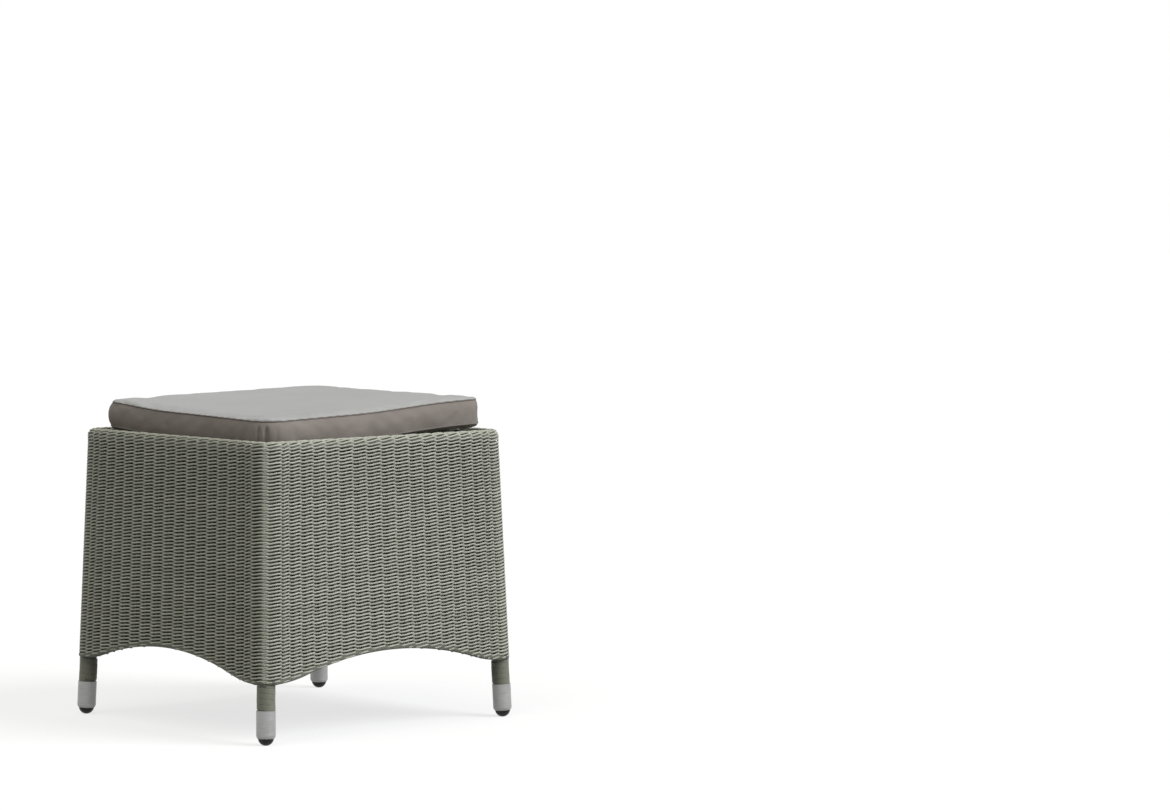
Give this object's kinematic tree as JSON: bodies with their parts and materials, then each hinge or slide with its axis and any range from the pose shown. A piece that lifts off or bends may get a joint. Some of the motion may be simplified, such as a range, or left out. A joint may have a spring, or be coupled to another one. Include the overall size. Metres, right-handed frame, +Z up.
{
  "type": "rattan stool",
  "caption": "Square garden footstool with arched round-strand woven sides that splay to the floor, metal-sleeved feet and a loose box cushion.",
  "frame": {"origin": "on the floor, under the centre of the stool", "axes": "+Z up; the front face looks along -Y and the right face along +X"},
  "size_m": [0.4812, 0.4812, 0.4868],
  "materials": {
    "frame_metal": "powder-coated tube, satin",
    "strand": "round synthetic rattan strand, grey-green",
    "leg_strand": "flat synthetic rattan strand, grey-green",
    "sleeve_metal": "brushed",
    "glide_plastic": "moulded, black",
    "cover_top_cloth": "light grey woven polyester",
    "cover_band_cloth": "taupe woven polyester",
    "foam": "seat foam",
    "zip_cloth": "woven zip tape with a nylon coil",
    "zip_metal": "painted zinc"
  },
  "bodies": {
    "stool": {"leg_tube_front_left": "frame_metal", "leg_tube_front_right": "frame_metal", "leg_tube_back_right": "frame_metal", "leg_tube_back_left": "frame_metal", "seat_rail_front": "frame_metal", "seat_rail_right": "frame_metal", "seat_rail_back": "frame_metal", "seat_rail_left": "frame_metal", "rim_ring": "frame_metal", "seat_bar_left": "frame_metal", "seat_bar_middle": "frame_metal", "seat_bar_right": "frame_metal", "arch_rod_front": "frame_metal", "arch_rod_right": "frame_metal", "arch_rod_back": "frame_metal", "arch_rod_left": "frame_metal", "stakes_front": "strand", "stakes_right": "strand", "stakes_back": "strand", "stakes_left": "strand", "woven_wall_front": "strand", "woven_wall_right": "strand", "woven_wall_back": "strand", "woven_wall_left": "strand", "arch_border_front": "strand", "arch_border_right": "strand", "arch_border_back": "strand", "arch_border_left": "strand", "rim_border": "strand", "woven_deck": "strand", "leg_wrap_front_left": "leg_strand", "leg_wrap_front_right": "leg_strand", "leg_wrap_back_right": "leg_strand", "leg_wrap_back_left": "leg_strand", "foot_sleeve_front_left": "sleeve_metal", "foot_sleeve_front_right": "sleeve_metal", "foot_sleeve_back_right": "sleeve_metal", "foot_sleeve_back_left": "sleeve_metal", "foot_glide_front_left": "glide_plastic", "foot_glide_front_right": "glide_plastic", "foot_glide_back_right": "glide_plastic", "foot_glide_back_left": "glide_plastic"},
    "cushion": {"cushion_foam": "foam", "cover_top": "cover_top_cloth", "cover_band": "cover_band_cloth", "cover_bottom": "cover_band_cloth", "zip_tape": "zip_cloth"},
    "zip_slider": {"zip_slider": "zip_metal"}
  },
  "joints": [
    {"name": "cushion_lift", "type": "slide", "parent": "stool", "child": "cushion", "axis": [0, 0, 1], "range_m": [0, 0.2]},
    {"name": "zip_slide", "type": "slide", "parent": "cushion", "child": "zip_slider", "axis": [0.9995, 0, 0.0322], "range_m": [0, 0.3]}
  ]
}
